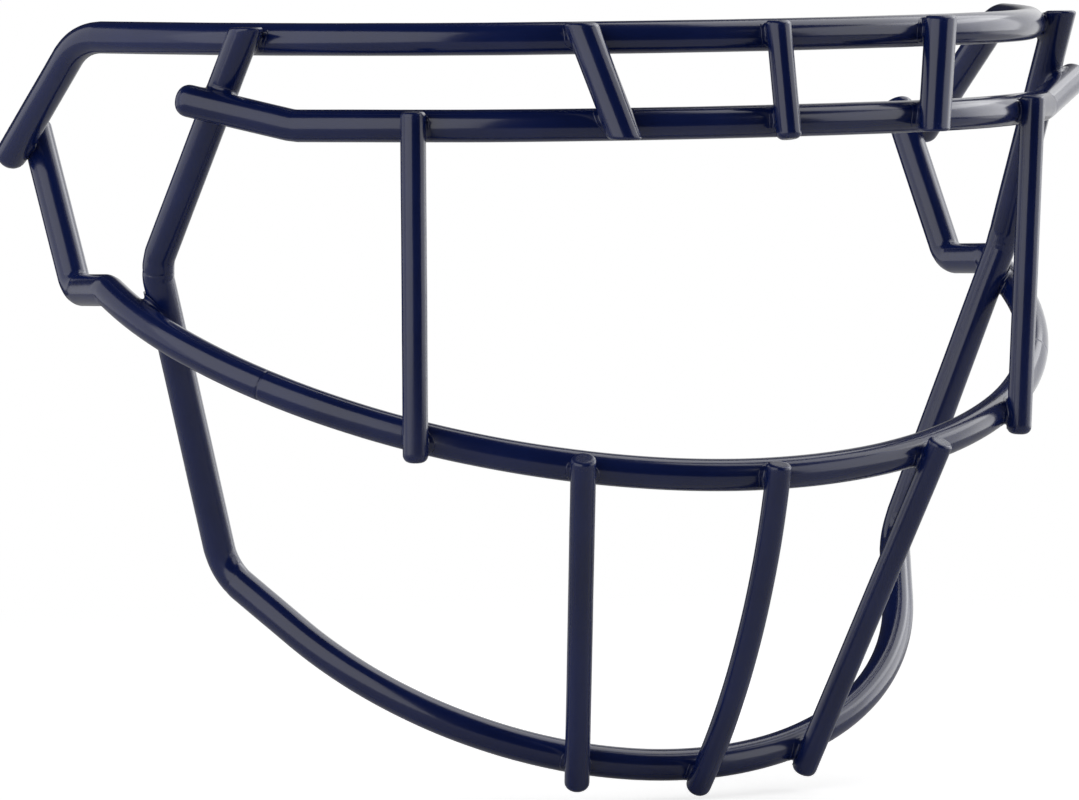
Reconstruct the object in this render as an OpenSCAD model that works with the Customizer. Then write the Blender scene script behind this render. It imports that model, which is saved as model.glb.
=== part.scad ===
/* [Wire] */
// Diameter of the bars over their coating
bar_d = 7; // [6:0.1:7.4]
// Diameter of the thin upright wires over their coating
wire_d = 5.5; // [4.5:0.1:6.4]
// Rounding of the rim of a cut end
cut_round = 1.4; // [0.5:0.1:2]
// Rounding of the ends that the wearer could touch, close to a full ball
ball_round = 3; // [2:0.1:3]

/* [Welds] */
// Depth that one wire is pressed into the other at a weld
weld_set = 0.6; // [0.3:0.1:1]
// The same depth where an upright crosses the brow bar
upright_set = 0.9; // [0.3:0.1:1.2]
// The same depth where an upright meets the visor bar, which takes a heavier weld
visor_set = 1.8; // [1:0.1:2]
// Gap between two wires in the seat of a weld
seat_gap = 0.1; // [0.05:0.05:0.2]
// Diameter of a weld bead between two bars
bar_bead_d = 8; // [7.6:0.1:8.4]
// Diameter of the heavier weld bead between an upright and the visor bar
visor_bead_d = 9; // [8.8:0.1:9.6]
// Diameter of a weld bead under a thin wire
wire_bead_d = 7; // [6.8:0.1:7.2]
// Gap between a weld bead and the wires it fills
bead_gap = 0.1; // [0.05:0.01:0.15]

/* [Brow bar] */
// Curved length of the forehead stretch on each side of the middle
brow_front_l = 60; // [54:0.5:66]
// Bend radius of the forehead stretch
brow_front_r = 132; // [120:1:150]
// Half width of the guard where the temple stretch ends
brow_temple_x = 91.7; // [90:0.1:94]
// How far the end of the temple stretch lies behind the middle
brow_temple_back = 43.1; // [41:0.1:46]
// Half of the distance between the corners of the ear drops
ear_x = 116; // [113:0.1:120]
// How far the corners of the ear drops lie behind the middle of the brow bar
ear_back = 97.7; // [95:0.1:101]
// Length from the end of the side stretch to the corner of the ear drop
brow_run_l = 9; // [8.5:0.5:12]
// Length of the ear drop from its corner to its tip
brow_drop_l = 46; // [42:0.5:50]
// Angle of the ear drop below level
brow_drop_angle = 37.5; // [33:0.5:41]
// Angle by which the ear drop heads outward
brow_drop_turn = 1.5; // [0:0.5:4]
// Bend radius at the corner of the ear drop
brow_drop_r = 19.5; // [15:0.5:20]

/* [Visor bar] */
// How far the visor bar lies below the brow bar
visor_down = 18.3; // [17:0.1:22]
// How far the visor bar stands in front of the brow bar
visor_forward = 3.3; // [2:0.1:5]
// Curved length of the front stretch on each side of the middle
visor_front_l = 33; // [30:0.5:36]
// Bend radius of the front stretch
visor_front_r = 159; // [140:1:180]
// Half width of the visor bar where the stretch around the cheek ends
visor_cheek_x = 70; // [68:0.1:71]
// How far the end of that stretch lies behind the middle of the visor bar
visor_cheek_back = 21.9; // [21:0.1:23]
// Half of the distance between the corners of the two tails
tail_x = 92.9; // [91:0.1:95]
// How far the corners of the tails lie behind the middle of the visor bar
tail_back = 43.2; // [42:0.1:45]
// Length from the end of the side stretch to the corner of the tail
visor_run_l = 11.3; // [10:0.1:14]
// Length of the tail from its corner to its tip
visor_tail_l = 26.5; // [24:0.5:30]
// Rise of the tail above level
visor_tail_rise = 13; // [8:0.5:18]
// Heading of the tail, from straight across to straight back
visor_tail_angle = 41.5; // [38:0.5:46]
// Bend radius at the corner of the tail
visor_tail_r = 8.4; // [7:0.1:12]

/* [Mid bar] */
// How far the middle of the mid bar lies below the brow bar
mid_down = 94.1; // [90:0.1:98]
// How far the middle of the mid bar stands behind the brow bar
mid_back = 2; // [0:0.1:4]
// Tilt of the mid bar, which rises toward its ends
mid_tilt = 22.9; // [20:0.1:26]
// Curved length of the front stretch on each side of the middle
mid_front_l = 69; // [64:0.5:74]
// Bend radius of the front stretch
mid_front_r = 116.5; // [112:0.5:122]
// Half width of the mid bar where the stretch around the cheek ends
mid_cheek_x = 106.3; // [105:0.1:108]
// How far the end of that stretch lies behind the middle of the mid bar
mid_cheek_back = 66.7; // [65:0.1:69]
// Length from the end of the side stretch to the corner of the side loop's foot
mid_run_l = 4; // [3:0.1:7]
// Bend radius at that corner
mid_heel_r = 4.5; // [3.8:0.1:6]

/* [Jaw bar and its uprights] */
// How far the middle of the jaw bar lies below the brow bar
jaw_down = 159.7; // [155:0.1:164]
// How far the middle of the jaw bar stands behind the brow bar
jaw_back = 35.2; // [33:0.1:37]
// Tilt of the jaw bar, which rises toward its corners
jaw_tilt = 36.3; // [34:0.1:39]
// Curved length of the chin stretch on each side of the middle
jaw_chin_l = 96; // [92:0.5:100]
// Bend radius of the chin stretch
jaw_chin_r = 82.5; // [80:0.5:86]
// Length from the chin stretch to the corner where the upright starts
jaw_run_l = 23.3; // [21:0.1:26]
// Bend radius at the corner of the jaw
jaw_corner_r = 9.6; // [8:0.1:12]
// How far the crease of the upright lies below the brow bar
crease_down = 52; // [50:0.5:54]
// How far the upper bend of the upright lies below the brow bar
knee_down = 47.7; // [46:0.1:49]
// Bend radius at the crease
crease_r = 4; // [3.8:0.1:5]
// Bend radius at the upper bend
knee_r = 8.3; // [6:0.1:10]
// Half of the distance between the uprights where they cross the brow bar
upright_brow_x = 96.6; // [94:0.1:99]
// Distance from the tail's corner to the place where the upright crosses the visor bar
upright_visor_s = 18.5; // [17:0.1:20]
// Length of the upright above the brow bar's centreline
upright_top_l = 5; // [3:0.1:6]
// Distance from the mid bar's corner to the place where the upright crosses it
upright_mid_s = 14.5; // [12:0.1:17]

/* [Braces] */
// Half of the distance between the outer braces at the brow bar
brace_brow_x = 41.7; // [38:0.1:45]
// Half of the distance between the outer braces at the visor bar
brace_visor_x = 37.3; // [34:0.1:40]
// Length of a brace above the brow bar's centreline
brace_top_l = 2.2; // [2:0.1:5]
// Length of a brace below the visor bar's centreline
brace_foot_l = 4.8; // [3:0.1:6]

/* [Cheek wires] */
// Half of the distance between the cheek wires at the visor bar
cheek_visor_x = 72.6; // [69:0.1:75]
// Half of the distance between the cheek wires at the mid bar
cheek_mid_x = 71.4; // [68:0.1:75]
// Length of a cheek wire above the visor bar's centreline
cheek_top_l = 3.5; // [2:0.1:5]
// Length of a cheek wire below the mid bar's centreline
cheek_foot_l = 4.8; // [3:0.1:6]

/* [Chin wires] */
// Half of the distance between the outer chin wires at the mid bar
chin_mid_x = 41; // [38:0.5:44]
// Half of the distance between the outer chin wires at the jaw bar
chin_jaw_x = 27.1; // [24:0.1:30]
// Length of an outer chin wire above the mid bar's centreline
chin_top_l = 5.4; // [4:0.1:7]
// Length of an outer chin wire below the jaw bar's centreline
chin_foot_l = 4.4; // [3:0.1:6]
// Length of the middle chin wire above the mid bar's centreline
middle_top_l = 4; // [3:0.1:6]
// Length of the middle chin wire below the jaw bar's centreline
middle_foot_l = 3; // [2.5:0.1:6]
// How far the middle chin wire bows forward
chin_bow = 4.2; // [3:0.1:6]

/* [Side loops] */
// How far the corner of a loop's foot lies inside the corner of the ear drop
heel_in = 4.5; // [2:0.1:7]
// How far the corner of a loop's foot lies in front of the corner of the ear drop
heel_forward = 3.3; // [1:0.1:6]
// Length of the loop's foot from the mid bar's corner to the loop's corner
loop_foot_l = 17.1; // [14:0.1:20]
// Drop of the foot toward the back, below level
loop_foot_drop = 2.5; // [0:0.5:6]
// Angle by which the foot heads inward
loop_foot_turn = 1.5; // [0:0.5:4]
// Bend radius between the foot and the leg
loop_r = 5.5; // [5:0.1:7]
// Distance from the corner of the ear drop to the leg's weld on it
loop_brow_s = 41.2; // [38:0.1:42]
// Length of the leg above that weld
loop_top_l = 5.1; // [4:0.1:8]

/* [Hidden] */
// Facets of a round section and of a full turn of a bend
section_fn = 48;
sweep_fn = 360;
$fn = section_fn;

right = [1, 0, 0];
back = [0, 1, 0];
up = [0, 0, 1];
forward = -back;

// A wire is a list of runs, each [start, heading, direction to the bend's centre, length, bend radius],
// where a radius of 0 makes the run straight. Places are given from the brow bar's middle.

// Each change of bend shows as a fine line around the wire, with the wire's core across it
line_w = 0.1;
line_depth = 0.25;
core_l = 1;
// Length of a bar that cuts the seat of a crossing wire
seat_l = 16;
// Straight length at a cut end of a curved wire
tip_l = 2;
// Steps of the rounding of a rim, in degrees
rim_step = 18;
// Passes that turn a lapped wire square to its offsets
lap_passes = 3;

function unit(v) = v / norm(v);
function degrees_of(len, radius) = len / radius * 180 / PI;
function square_to(v) = unit(cross(v, abs(v.z) > 0.9 ? right : up));
function tilted_up(tilt) = [0, -sin(tilt), cos(tilt)];

// The same run from a distance s along it
function run_at(run, s) =
  let (p = run[0], h = run[1], w = run[2], r = run[4], a = r == 0 ? 0 : degrees_of(s, r))
  [r == 0 ? p + s * h : p + r * sin(a) * h + r * (1 - cos(a)) * w,
    cos(a) * h + sin(a) * w, cos(a) * w - sin(a) * h, run[3] - s, r];

function straight_run(from, to) =
  let (h = unit(to - from)) [from, h, square_to(h), norm(to - from), 0];

// Runs of [length, radius] pairs that bend one after another in one plane
function arc_runs(p, h, plane_up, arcs, i = 0) =
  i == len(arcs) ? [] :
  let (run = [p, h, cross(plane_up, h), arcs[i][0], arcs[i][1]], next = run_at(run, run[3]))
  concat([run], arc_runs(next[0], next[1], plane_up, arcs, i + 1));

// A run from p along h that bends once, so that its end heads for a place at the given distance ahead
function run_toward(p, h, place, ahead = 0) =
  let (d = place - p, t = (d * d - ahead * ahead) / 2 / (d * h + ahead), next_h = unit(d - t * h),
    turn = acos(h * next_h), r = t / tan(turn / 2))
  [p, h, unit(next_h - (h * next_h) * h), r * turn * PI / 180, r];

// Runs through corner points, with each corner rounded by its radius
function corner_runs(points, radii, i = 0, start = undef) =
  let (from = is_undef(start) ? points[0] : start, corner = points[i + 1])
  i == len(radii) ? [straight_run(from, corner)] :
  let (h = unit(corner - from), next_h = unit(points[i + 2] - corner), turn = acos(h * next_h),
    reach = radii[i] * tan(turn / 2))
  concat([straight_run(from, corner - reach * h),
      [corner - reach * h, h, unit(next_h - (h * next_h) * h), radii[i] * turn * PI / 180, radii[i]]],
    corner_runs(points, radii, i + 1, corner + reach * next_h));

function run_end(run) = run_at(run, run[3]);
function last(list) = list[len(list) - 1];

// Runs lengthened by one bend toward each place in turn
function run_chain(runs, places, aheads, i = 0) =
  i == len(places) ? runs :
  let (end = run_end(last(runs)))
  run_chain(concat(runs, [run_toward(end[0], end[1], places[i], aheads[i])]), places, aheads, i + 1);

// Distance along a run, in a bar's plane, to the given x
function length_to_x(run, x) =
  let (p = run[0], h = run[1], w = run[2], r = run[4])
  r == 0 ? (x - p.x) / h.x : (asin((x - p.x) / r - w.x) - atan2(-w.x, h.x)) * r * PI / 180;

// Place on a bar at the given x, and the bar's radius there
function bar_at(runs, x, i = 0) =
  i == len(runs) - 1 || run_end(runs[i])[0].x >= x ? run_at(runs[i], length_to_x(runs[i], x))
    : bar_at(runs, x, i + 1);

// Direction from a bar's axis to a wire that crosses it, on the side that faces out
function seat_direction(tangent, along, out) =
  let (n = unit(cross(tangent, along))) n * out < 0 ? -n : n;

// Where the axis of a wire lapped over places a and b passes them, for a wire that bows by an angle at each
function lap_points(a, b, lift_a, lift_b, out_a, out_b, bow = 0, pass = 0, along = undef) =
  let (u = unit(is_undef(along) ? b[0] - a[0] : along), f = unit(out_a - (out_a * u) * u),
    pa = a[0] + lift_a * seat_direction(a[1], cos(bow) * u + sin(bow) * f, out_a),
    pb = b[0] + lift_b * seat_direction(b[1], cos(bow) * u - sin(bow) * f, out_b))
  pass == lap_passes ? [pa, pb]
    : lap_points(a, b, lift_a, lift_b, out_a, out_b, bow, pass + 1, pb - pa);

// Distance between the axes of two wires welded with the given set
function lift(d1, d2, set) = (d1 + d2) / 2 - set;

// Brow bar
brow_corner = [ear_x, ear_back, 0];
brow_arcs = run_chain(arc_runs([0, 0, 0], right, up, [[brow_front_l, brow_front_r]]),
  [[brow_temple_x, brow_temple_back, 0], brow_corner], [0, brow_run_l]);
brow_end = run_end(last(brow_arcs));
brow_drop = cos(brow_drop_angle) * (cos(brow_drop_turn) * back + sin(brow_drop_turn) * right)
  - sin(brow_drop_angle) * up;
brow_tip = brow_corner + brow_drop_l * brow_drop;
brow_runs = concat(brow_arcs, corner_runs([brow_end[0], brow_corner, brow_tip], [brow_drop_r]));

// Visor bar
visor_middle = [0, -visor_forward, -visor_down];
visor_corner = visor_middle + [tail_x, tail_back, 0];
visor_arcs = run_chain(arc_runs(visor_middle, right, up, [[visor_front_l, visor_front_r]]),
  [visor_middle + [visor_cheek_x, visor_cheek_back, 0], visor_corner], [0, visor_run_l]);
visor_end = run_end(last(visor_arcs));
visor_tail = cos(visor_tail_rise) * (cos(visor_tail_angle) * right + sin(visor_tail_angle) * back)
  + sin(visor_tail_rise) * up;
visor_tip = visor_corner + visor_tail_l * visor_tail;
visor_runs = concat(visor_arcs, corner_runs([visor_end[0], visor_corner, visor_tip], [visor_tail_r]));

// Mid bar, whose ends turn up into the side loops behind the ear drops
mid_middle = [0, mid_back, -mid_down];
function on_mid_bar(x, behind) = mid_middle + [x, behind, behind * tan(mid_tilt)];
mid_heel = on_mid_bar(ear_x - heel_in, ear_back - heel_forward - mid_back);
mid_arcs = run_chain(arc_runs(mid_middle, right, tilted_up(mid_tilt), [[mid_front_l, mid_front_r]]),
  [on_mid_bar(mid_cheek_x, mid_cheek_back), mid_heel], [0, mid_run_l]);
mid_end = run_end(last(mid_arcs));
loop_bend = mid_heel + loop_foot_l * (cos(loop_foot_drop) * (cos(loop_foot_turn) * back
  - sin(loop_foot_turn) * right) - sin(loop_foot_drop) * up);
loop_brow = run_at(straight_run(brow_corner, brow_tip), loop_brow_s);
loop_leg = loop_brow[0] - lift(bar_d, bar_d, weld_set)
  * seat_direction(loop_brow[1], loop_brow[0] - loop_bend, right);
loop_leg_h = unit(loop_leg - loop_bend);
loop_top = loop_leg + loop_top_l * loop_leg_h;
mid_runs = concat(mid_arcs, corner_runs([mid_end[0], mid_heel, loop_bend, loop_top], [mid_heel_r, loop_r]));

// Jaw bar, whose uprights pass outside the brow bar, inside the visor bar and inside the mid bar
jaw_arcs = arc_runs([0, jaw_back, -jaw_down], right, tilted_up(jaw_tilt), [[jaw_chin_l, jaw_chin_r]]);
jaw_end = run_end(last(jaw_arcs));
jaw_corner = jaw_end[0] + jaw_run_l * jaw_end[1];
upright_brow = bar_at(brow_arcs, upright_brow_x);
upright_visor = run_at(straight_run(visor_corner, visor_tip), upright_visor_s);
upright_mid = run_at(last(mid_arcs), last(mid_arcs)[3] + mid_run_l - upright_mid_s);
outward = unit(right + forward);
upper_lap = lap_points(upright_brow, upright_visor, lift(bar_d, bar_d, upright_set),
  lift(bar_d, bar_d, visor_set), outward, -outward);
upper_h = unit(upper_lap[1] - upper_lap[0]);
upright_top = upper_lap[0] - upright_top_l * upper_h;
knee = upper_lap[0] + (-knee_down - upper_lap[0].z) / upper_h.z * upper_h;
lower_touch = upright_mid[0] - lift(bar_d, bar_d, weld_set)
  * seat_direction(upright_mid[1], upright_mid[0] - jaw_corner, right);
lower_h = unit(lower_touch - jaw_corner);
crease = jaw_corner + (-crease_down - jaw_corner.z) / lower_h.z * lower_h;
jaw_runs = concat(jaw_arcs,
  corner_runs([jaw_end[0], jaw_corner, crease, knee, upright_top], [jaw_corner_r, crease_r, knee_r]));

// Straight wires over two bars
brace_places = [bar_at(brow_arcs, brace_brow_x), bar_at(visor_arcs, brace_visor_x)];
brace_lap = lap_points(brace_places[0], brace_places[1], lift(bar_d, bar_d, weld_set),
  lift(bar_d, bar_d, weld_set), forward, forward);
center_places = [brow_arcs[0], visor_arcs[0]];
center_lap = lap_points(center_places[0], center_places[1], lift(bar_d, wire_d, weld_set),
  lift(bar_d, wire_d, weld_set), forward, forward);
cheek_places = [bar_at(visor_arcs, cheek_visor_x), bar_at(mid_arcs, cheek_mid_x)];
cheek_lap = lap_points(cheek_places[0], cheek_places[1], lift(bar_d, wire_d, weld_set),
  lift(bar_d, wire_d, weld_set), outward, outward);
chin_places = [bar_at(mid_arcs, chin_mid_x), bar_at(jaw_arcs, chin_jaw_x)];
chin_lap = lap_points(chin_places[0], chin_places[1], lift(bar_d, wire_d, weld_set),
  lift(bar_d, wire_d, weld_set), forward, forward);

// Bowed wire over the middle of the mid bar and the jaw bar
middle_places = [mid_arcs[0], jaw_arcs[0]];
middle_span = norm(middle_places[1][0] - middle_places[0][0]);
middle_r = (middle_span * middle_span / 4 + chin_bow * chin_bow) / 2 / chin_bow;
middle_bow = asin(middle_span / 2 / middle_r);
middle_lap = lap_points(middle_places[0], middle_places[1], lift(bar_d, wire_d, weld_set),
  lift(bar_d, wire_d, weld_set), forward, forward, middle_bow);
middle_u = unit(middle_lap[1] - middle_lap[0]);
middle_h = cos(middle_bow) * middle_u + sin(middle_bow) * cross(middle_u, right);
middle_arc = run_at([middle_lap[0], middle_h, cross(right, middle_h),
    norm(middle_lap[1] - middle_lap[0]) / 2 / sin(middle_bow) * middle_bow * PI / 90
      + middle_foot_l - tip_l, middle_r], tip_l - middle_top_l);
middle_end = run_end(middle_arc);
middle_foot = middle_end[0] + tip_l * middle_end[1];
middle_runs = [straight_run(middle_arc[0] - tip_l * middle_arc[1], middle_arc[0]), middle_arc,
  straight_run(middle_end[0], middle_foot)];

// The guard stands on its lowest point, with its origin under the middle of its box
function reach(h, axis, d) = d / 2 * sqrt(1 - pow(h[axis], 2));
lowest_z = middle_foot.z - reach(middle_end[1], 2, wire_d);
brace_foot = center_lap[1] + brace_foot_l * unit(center_lap[1] - center_lap[0]);
front_y = brace_foot.y - reach(unit(center_lap[1] - center_lap[0]), 1, wire_d);
back_y = loop_top.y + reach(loop_leg_h, 1, bar_d);

module stand() translate([0, -(front_y + back_y) / 2, -lowest_z]) children();
module side(left) mirror([left ? 0 : 1, 0, 0]) children();

module at_place(place)
  multmatrix([
    [place[2].x, cross(place[1], place[2]).x, place[1].x, place[0].x],
    [place[2].y, cross(place[1], place[2]).y, place[1].y, place[0].y],
    [place[2].z, cross(place[1], place[2]).z, place[1].z, place[0].z]]) children();

// Half outline of a rod's end at height z, whose body lies on the given side of it
function rim_points(d, rim, z, body) =
  rim == 0 ? [[d / 2, z]] :
  [for (a = [90:-rim_step:0]) [d / 2 - rim + rim * cos(a), z + body * rim * (1 - sin(a))]];
function backward(list) = [for (i = [len(list) - 1:-1:0]) list[i]];

module rod(z1, z2, d, rim1, rim2)
  rotate_extrude() polygon(concat([[0, z1]], rim_points(d, rim1, z1, 1),
    backward(rim_points(d, rim2, z2, -1)), [[0, z2]]));

module bent_rod(z1, z2, r, d)
  translate([r, 0, 0]) rotate([90, 0, 0])
    rotate_extrude(angle = degrees_of(z2 - z1, r), start = 180 - degrees_of(z2, r), $fn = sweep_fn)
      translate([r, 0]) circle(d = d, $fn = section_fn);

module run_body(run, z1, z2, d, rim1 = 0, rim2 = 0)
  at_place(run) {
    if (run[4] == 0) rod(z1, z2, d, rim1, rim2);
    else bent_rod(z1, z2, run[4], d);
  }

module core(run, d) at_place(run) translate([0, 0, -core_l / 2]) cylinder(h = core_l, d = d - 2 * line_depth);

// A bent wire with both ends cut, or with its start at the middle of a mirrored bar
module wire(runs, d, rim1, rim2, from_middle = false) {
  for (i = [0:len(runs) - 1]) {
    first = i == 0 && !from_middle;
    final = i == len(runs) - 1;
    run_body(runs[i], first ? 0 : line_w / 2, runs[i][3] - (final ? 0 : line_w / 2), d,
      first ? rim1 : 0, final ? rim2 : 0);
    if (i > 0) core(runs[i], d);
  }
}

module bar(runs, rim) {
  core(runs[0], bar_d);
  for (left = [true, false]) side(left) wire(runs, bar_d, 0, rim, true);
}

// The seat of a wire on a bar, cut straight because a bar hardly bends across a wire
module seat(place, gap = seat_gap)
  run_body(straight_run(place[0] - seat_l / 2 * place[1], place[0] + seat_l / 2 * place[1]), 0, seat_l,
    bar_d + 2 * gap);

module lapped_wire(lap, top_l, foot_l, d) {
  h = unit(lap[1] - lap[0]);
  wire([straight_run(lap[0] - top_l * h, lap[1] + foot_l * h)], d, cut_round, cut_round);
}

// A weld bead fills the corners where a wire of diameter d passes a bar at a distance
module bead(place, touch, along, d, bead_d) {
  apart = norm(touch - place[0]);
  n = (touch - place[0]) / apart;
  difference() {
    at_place([place[0] + (bar_d / 2 + apart - d / 2) / 2 * n, n, place[1]]) sphere(d = bead_d);
    seat(place, bead_gap);
    run_body(straight_run(touch - seat_l / 2 * along, touch + seat_l / 2 * along), 0, seat_l,
      d + 2 * bead_gap);
  }
}
module lap_bead(places, lap, i, d, bead_d) bead(places[i], lap[i], unit(lap[1] - lap[0]), d, bead_d);
module both_sides() for (left = [true, false]) side(left) children();

module brow_bar() color("midnightblue") stand() bar(brow_runs, ball_round);
module visor_bar() color("midnightblue") stand() bar(visor_runs, ball_round);
module mid_bar() color("midnightblue") stand() difference() {
  bar(mid_runs, cut_round);
  both_sides() seat(loop_brow);
}
module jaw_bar() color("midnightblue") stand() difference() {
  bar(jaw_runs, cut_round);
  both_sides() for (place = [upright_brow, upright_visor, upright_mid]) seat(place);
}

module brace(left) color("midnightblue") stand() side(left) difference() {
  lapped_wire(brace_lap, brace_top_l, brace_foot_l, bar_d);
  for (place = brace_places) seat(place);
}
module brace_center() color("midnightblue") stand() difference() {
  lapped_wire(center_lap, brace_top_l, brace_foot_l, wire_d);
  for (place = center_places) seat(place);
}
module cheek_wire(left) color("midnightblue") stand() side(left) difference() {
  lapped_wire(cheek_lap, cheek_top_l, cheek_foot_l, wire_d);
  for (place = cheek_places) seat(place);
}
module chin_wire(left) color("midnightblue") stand() side(left) difference() {
  lapped_wire(chin_lap, chin_top_l, chin_foot_l, wire_d);
  for (place = chin_places) seat(place);
}
module chin_wire_center() color("midnightblue") stand() difference() {
  wire(middle_runs, wire_d, cut_round, cut_round);
  for (place = middle_places) seat(place);
}
module brow_upright_welds() color("midnightblue") stand() both_sides()
  bead(upright_brow, upper_lap[0], upper_h, bar_d, bar_bead_d);
module visor_upright_welds() color("midnightblue") stand() both_sides()
  bead(upright_visor, upper_lap[1], upper_h, bar_d, visor_bead_d);
module mid_upright_welds() color("midnightblue") stand() both_sides()
  bead(upright_mid, lower_touch, lower_h, bar_d, bar_bead_d);
module brace_welds(i) color("midnightblue") stand() {
  both_sides() lap_bead(brace_places, brace_lap, i, bar_d, bar_bead_d);
  lap_bead(center_places, center_lap, i, wire_d, wire_bead_d);
}
module cheek_welds(i) color("midnightblue") stand() both_sides()
  lap_bead(cheek_places, cheek_lap, i, wire_d, wire_bead_d);
module chin_welds(i) color("midnightblue") stand() {
  both_sides() lap_bead(chin_places, chin_lap, i, wire_d, wire_bead_d);
  bead(middle_places[i], middle_lap[i],
    cos(middle_bow) * middle_u + (i == 0 ? 1 : -1) * sin(middle_bow) * cross(middle_u, right),
    wire_d, wire_bead_d);
}
module brow_loop_welds() color("midnightblue") stand() both_sides()
  bead(loop_brow, loop_leg, loop_leg_h, bar_d, bar_bead_d);

brow_bar();
visor_bar();
mid_bar();
jaw_bar();
brace(true);  // brace_left
brace_center();
brace(false);  // brace_right
cheek_wire(true);  // cheek_wire_left
cheek_wire(false);  // cheek_wire_right
chin_wire(true);  // chin_wire_left
chin_wire_center();
chin_wire(false);  // chin_wire_right
brow_upright_welds();
visor_upright_welds();
mid_upright_welds();
brace_welds(0);  // brow_brace_welds
brace_welds(1);  // visor_brace_welds
cheek_welds(0);  // visor_cheek_welds
cheek_welds(1);  // mid_cheek_welds
chin_welds(0);  // mid_chin_welds
chin_welds(1);  // jaw_chin_welds
brow_loop_welds();
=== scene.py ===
"""Face guard of a football helmet: bent and welded steel wires under a glossy navy coating.

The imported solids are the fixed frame. Each wire is laid again as a smooth coated tube along the same
centreline, and each weld as a coated fillet that runs from one wire into the other.
Sizes are in millimetres from the middle of the brow bar, and the meshes are in metres in the row frame.
"""

import logging
import math
from dataclasses import dataclass, field
from enum import Enum

import bpy
import numpy as np
from mathutils import Matrix, Vector


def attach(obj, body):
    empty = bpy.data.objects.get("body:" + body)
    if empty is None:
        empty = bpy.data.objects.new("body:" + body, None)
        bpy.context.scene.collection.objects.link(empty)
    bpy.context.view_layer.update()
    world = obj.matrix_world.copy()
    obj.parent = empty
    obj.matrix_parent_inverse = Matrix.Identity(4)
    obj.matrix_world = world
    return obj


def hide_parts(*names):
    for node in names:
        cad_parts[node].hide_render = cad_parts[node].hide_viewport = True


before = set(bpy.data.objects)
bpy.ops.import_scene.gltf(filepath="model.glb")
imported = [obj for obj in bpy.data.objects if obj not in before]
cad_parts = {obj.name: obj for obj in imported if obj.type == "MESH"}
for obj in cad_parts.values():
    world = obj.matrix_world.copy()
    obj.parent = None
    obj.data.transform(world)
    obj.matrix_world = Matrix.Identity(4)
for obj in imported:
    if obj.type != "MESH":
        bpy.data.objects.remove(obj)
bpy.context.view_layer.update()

Array = np.ndarray
Colour = tuple[float, float, float, float]
Socket = bpy.types.NodeSocket
METRE = 0.001

# Corners round the short and thin wires.
THIN_AROUND = 40
# A wire goes on past a weld by this much where its end is out of the fillet's reach.
OUT_OF_REACH = 99.0
# Radii under which a bend gets closer rings and is flattened in full, and the length that eases the flat in.
CLOSE_RINGS_R, FLAT_R, FLAT_EASE = 25.0, 9.0, 1.5
# A heading this close to upright takes its inward direction from the side and not from above.
NEARLY_UPRIGHT = 0.9
# Passes after which a lapped wire lies still.
LAP_PASSES = 4
# Slow waves of the coating: height, length along the wire, turns around it and share of the seed.
COATING_WAVES = ((1.0, 9.1, 1, 1.0), (0.7, 4.7, -2, 1.7), (0.5, 2.6, 3, 2.9))
# Lumps around a fillet: how many, their height and share of the seed.
FILLET_LUMPS = ((2, 0.16, 1.0), (3, 0.1, 2.3), (5, 0.06, 4.1))

log = logging.getLogger("face_guard")


class Side(Enum):
    """A half of the guard, named from the wearer, with the sign of its X."""

    LEFT = 1
    RIGHT = -1

    @property
    def word(self) -> str:
        """The side's name in piece names."""
        return self.name.lower()


class EndShape(Enum):
    """How a wire ends: the rounding of its rim, and whether it is cut level and not square."""

    SQUARE = (1.45, False)
    CRISP = (0.8, False)
    LEVEL = (0.9, True)
    ROUND = (1.7, False)
    BALL = (2.8, False)

    @property
    def rounding(self) -> float:
        """Radius of the rim."""
        return self.value[0]

    @property
    def level(self) -> bool:
        """Whether the end face lies level."""
        return self.value[1]


Ends = tuple[EndShape, EndShape]


def vec(x: float, y: float, z: float) -> Array:
    """A point or direction as an array."""
    return np.array([x, y, z], float)


RIGHT, BACK, UP = vec(1, 0, 0), vec(0, 1, 0), vec(0, 0, 1)
FORWARD = -BACK


def unit(v: Array) -> Array:
    """The same direction with a length of one."""
    return v / np.linalg.norm(v)


def mirrored(points: Array) -> Array:
    """The points or directions mirrored in the plane through the wearer's nose."""
    return points * vec(-1, 1, 1)


def aimed(level: Array, aside: Array, turn: float, rise: float) -> Array:
    """A direction turned from one level direction toward another, then raised.

    It is cos(rise) (cos(turn) level + sin(turn) aside) + sin(rise) up.

    Args:
        level: The direction that it starts from.
        aside: The level direction square to it.
        turn: Angle of the turn in degrees.
        rise: Angle above level in degrees.

    Returns:
        The direction.
    """
    t, e = math.radians(turn), math.radians(rise)
    return math.cos(e) * (math.cos(t) * level + math.sin(t) * aside) + math.sin(e) * UP


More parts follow.
